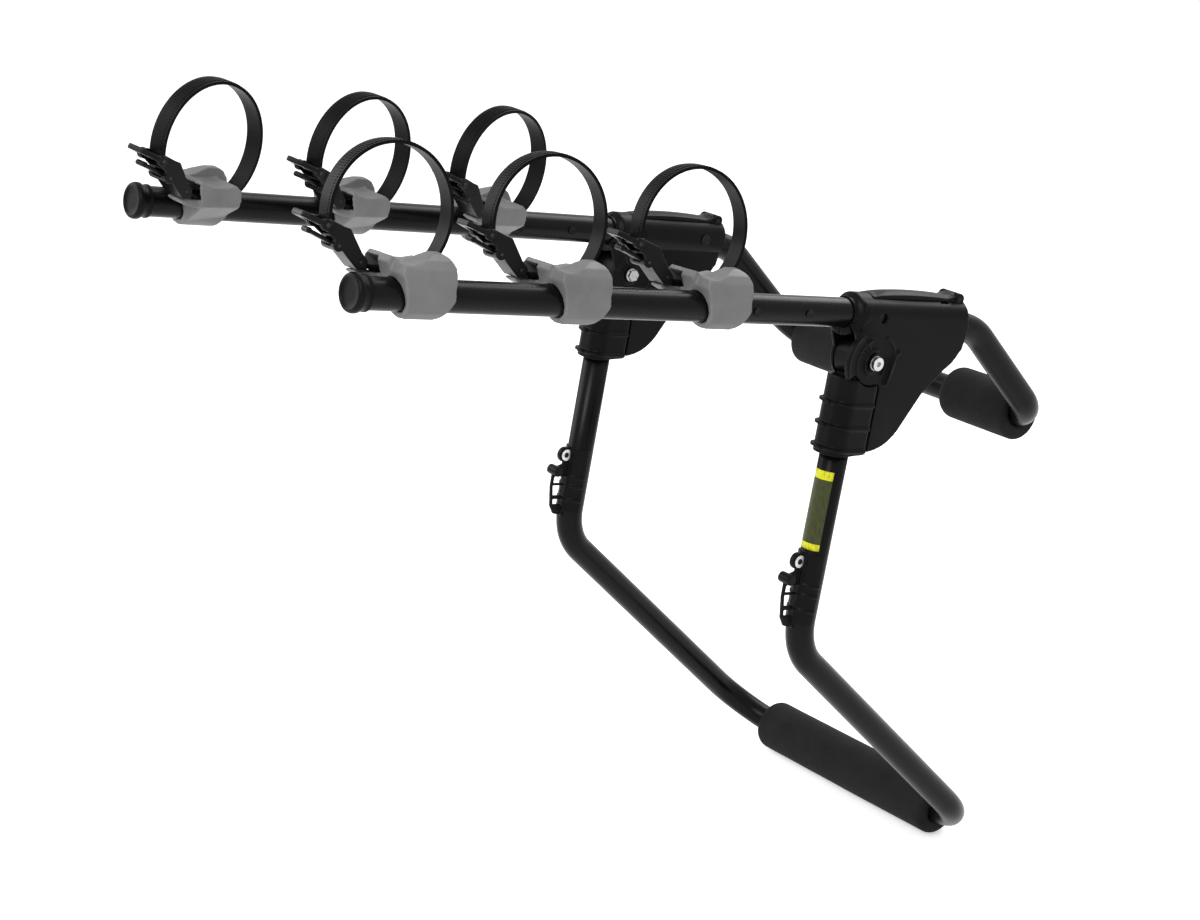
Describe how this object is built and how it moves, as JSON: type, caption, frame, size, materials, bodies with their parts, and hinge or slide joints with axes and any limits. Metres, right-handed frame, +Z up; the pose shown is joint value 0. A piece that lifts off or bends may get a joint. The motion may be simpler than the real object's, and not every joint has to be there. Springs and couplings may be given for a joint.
{
  "type": "trunk mounted bike rack",
  "caption": "Folding bike rack for the back of a car: carrying arms with strapped cradles on ribbed hubs, and two bent tube frames with foam sleeves.",
  "frame": {"origin": "middle of the axis about which the lower frame folds, halfway between the two hubs", "axes": "+X across the rack, -Y out along the carrying arms away from the car, +Y to the car, +Z up"},
  "size_m": [0.425, 0.8811, 0.8937],
  "materials": {
    "powder_coated_steel": "fine textured powder coat, satin black",
    "hub_plastic": "moulded black plastic with a slight sheen",
    "cap_plastic": "smooth black plastic",
    "ladder_plastic": "moulded black plastic",
    "cradle_rubber": "soft mid grey rubber, dull",
    "strap_plastic": "flexible black strap, fine teeth on one face",
    "buckle_plastic": "black plastic, slightly glossy",
    "fastener_steel": "zinc plated or blackened steel",
    "foam": "closed cell foam with a fine grain, dull black"
  },
  "bodies": {
    "rack": {"arm_tube_right": "powder_coated_steel", "arm_end_cap_right": "cap_plastic", "arm_screws_right": "fastener_steel", "hub_outer_cover_right": "hub_plastic", "hub_inner_cover_right": "hub_plastic", "pivot_bolt_right": "fastener_steel", "hub_pins_right": "fastener_steel", "buckle_pins_right": "buckle_plastic", "cradle_inner_right": "cradle_rubber", "strap_inner_right": "strap_plastic", "buckle_inner_right": "buckle_plastic", "cradle_middle_right": "cradle_rubber", "strap_middle_right": "strap_plastic", "buckle_middle_right": "buckle_plastic", "cradle_outer_right": "cradle_rubber", "strap_outer_right": "strap_plastic", "buckle_outer_right": "buckle_plastic", "arm_tube_left": "powder_coated_steel", "arm_end_cap_left": "cap_plastic", "arm_screws_left": "fastener_steel", "hub_outer_cover_left": "hub_plastic", "hub_inner_cover_left": "hub_plastic", "pivot_bolt_left": "fastener_steel", "hub_pins_left": "fastener_steel", "buckle_pins_left": "buckle_plastic", "cradle_inner_left": "cradle_rubber", "strap_inner_left": "strap_plastic", "buckle_inner_left": "buckle_plastic", "cradle_middle_left": "cradle_rubber", "strap_middle_left": "strap_plastic", "buckle_middle_left": "buckle_plastic", "cradle_outer_left": "cradle_rubber", "strap_outer_left": "strap_plastic", "buckle_outer_left": "buckle_plastic"},
    "lower_frame": {"lower_frame_tube": "powder_coated_steel", "lower_foam": "foam", "ladder_screws": "fastener_steel", "leg_socket_right": "hub_plastic", "ladder_bracket_right": "ladder_plastic", "leg_socket_left": "hub_plastic", "ladder_bracket_left": "ladder_plastic"},
    "upper_frame": {"upper_frame_tube": "powder_coated_steel", "upper_foam_right": "foam", "upper_foam_left": "foam"},
    "paddle_right": {"release_paddle_right": "hub_plastic"},
    "lever_inner_right": {"ratchet_lever_inner_right": "buckle_plastic"},
    "tab_inner_right": {"release_tab_inner_right": "buckle_plastic"},
    "lever_middle_right": {"ratchet_lever_middle_right": "buckle_plastic"},
    "tab_middle_right": {"release_tab_middle_right": "buckle_plastic"},
    "lever_outer_right": {"ratchet_lever_outer_right": "buckle_plastic"},
    "tab_outer_right": {"release_tab_outer_right": "buckle_plastic"},
    "paddle_left": {"release_paddle_left": "hub_plastic"},
    "lever_inner_left": {"ratchet_lever_inner_left": "buckle_plastic"},
    "tab_inner_left": {"release_tab_inner_left": "buckle_plastic"},
    "lever_middle_left": {"ratchet_lever_middle_left": "buckle_plastic"},
    "tab_middle_left": {"release_tab_middle_left": "buckle_plastic"},
    "lever_outer_left": {"ratchet_lever_outer_left": "buckle_plastic"},
    "tab_outer_left": {"release_tab_outer_left": "buckle_plastic"}
  },
  "joints": [
    {"name": "lower_frame_fold", "type": "hinge", "parent": "rack", "child": "lower_frame", "pos_m": [0, 0, 0], "axis": [-1, 0, 0], "range_deg": [0, 55]},
    {"name": "upper_frame_fold", "type": "hinge", "parent": "rack", "child": "upper_frame", "pos_m": [0, 0.09999, 0.02207], "axis": [-1, 0, 0], "range_deg": [0, 38]},
    {"name": "paddle_lift_right", "type": "hinge", "parent": "rack", "child": "paddle_right", "pos_m": [0.183, 0.12487, 0.03696], "axis": [-1, 0, 0], "range_deg": [0, 12], "stiffness_Nm_per_rad": 0.1, "springref_deg": -8.59},
    {"name": "lever_lift_inner_right", "type": "hinge", "parent": "rack", "child": "lever_inner_right", "pos_m": [0.13981, -0.2466, 0.1497], "axis": [-0.9862, 0.1352, -0.0958], "range_deg": [0, 40]},
    {"name": "tab_press_inner_right", "type": "hinge", "parent": "rack", "child": "tab_inner_right", "pos_m": [0.14302, -0.23669, 0.13073], "axis": [-0.9862, 0.1352, -0.0958], "range_deg": [0, 8], "stiffness_Nm_per_rad": 0.008, "springref_deg": -8.59},
    {"name": "lever_lift_middle_right", "type": "hinge", "parent": "rack", "child": "lever_middle_right", "pos_m": [0.13981, -0.41101, 0.18675], "axis": [-0.9862, 0.1352, -0.0958], "range_deg": [0, 40]},
    {"name": "tab_press_middle_right", "type": "hinge", "parent": "rack", "child": "tab_middle_right", "pos_m": [0.14302, -0.4011, 0.16778], "axis": [-0.9862, 0.1352, -0.0958], "range_deg": [0, 8], "stiffness_Nm_per_rad": 0.008, "springref_deg": -8.59},
    {"name": "lever_lift_outer_right", "type": "hinge", "parent": "rack", "child": "lever_outer_right", "pos_m": [0.13981, -0.57537, 0.22379], "axis": [-0.9862, 0.1352, -0.0958], "range_deg": [0, 40]},
    {"name": "tab_press_outer_right", "type": "hinge", "parent": "rack", "child": "tab_outer_right", "pos_m": [0.14302, -0.56546, 0.20482], "axis": [-0.9862, 0.1352, -0.0958], "range_deg": [0, 8], "stiffness_Nm_per_rad": 0.008, "springref_deg": -8.59},
    {"name": "paddle_lift_left", "type": "hinge", "parent": "rack", "child": "paddle_left", "pos_m": [-0.183, 0.12487, 0.03696], "axis": [-1, 0, 0], "range_deg": [0, 12], "stiffness_Nm_per_rad": 0.1, "springref_deg": -8.59},
    {"name": "lever_lift_inner_left", "type": "hinge", "parent": "rack", "child": "lever_inner_left", "pos_m": [-0.13981, -0.2466, 0.1497], "axis": [-0.9862, -0.1352, 0.0958], "range_deg": [0, 40]},
    {"name": "tab_press_inner_left", "type": "hinge", "parent": "rack", "child": "tab_inner_left", "pos_m": [-0.14302, -0.23669, 0.13073], "axis": [-0.9862, -0.1352, 0.0958], "range_deg": [0, 8], "stiffness_Nm_per_rad": 0.008, "springref_deg": -8.59},
    {"name": "lever_lift_middle_left", "type": "hinge", "parent": "rack", "child": "lever_middle_left", "pos_m": [-0.13981, -0.41101, 0.18675], "axis": [-0.9862, -0.1352, 0.0958], "range_deg": [0, 40]},
    {"name": "tab_press_middle_left", "type": "hinge", "parent": "rack", "child": "tab_middle_left", "pos_m": [-0.14302, -0.4011, 0.16778], "axis": [-0.9862, -0.1352, 0.0958], "range_deg": [0, 8], "stiffness_Nm_per_rad": 0.008, "springref_deg": -8.59},
    {"name": "lever_lift_outer_left", "type": "hinge", "parent": "rack", "child": "lever_outer_left", "pos_m": [-0.13981, -0.57537, 0.22379], "axis": [-0.9862, -0.1352, 0.0958], "range_deg": [0, 40]},
    {"name": "tab_press_outer_left", "type": "hinge", "parent": "rack", "child": "tab_outer_left", "pos_m": [-0.14302, -0.56546, 0.20482], "axis": [-0.9862, -0.1352, 0.0958], "range_deg": [0, 8], "stiffness_Nm_per_rad": 0.008, "springref_deg": -8.59}
  ]
}
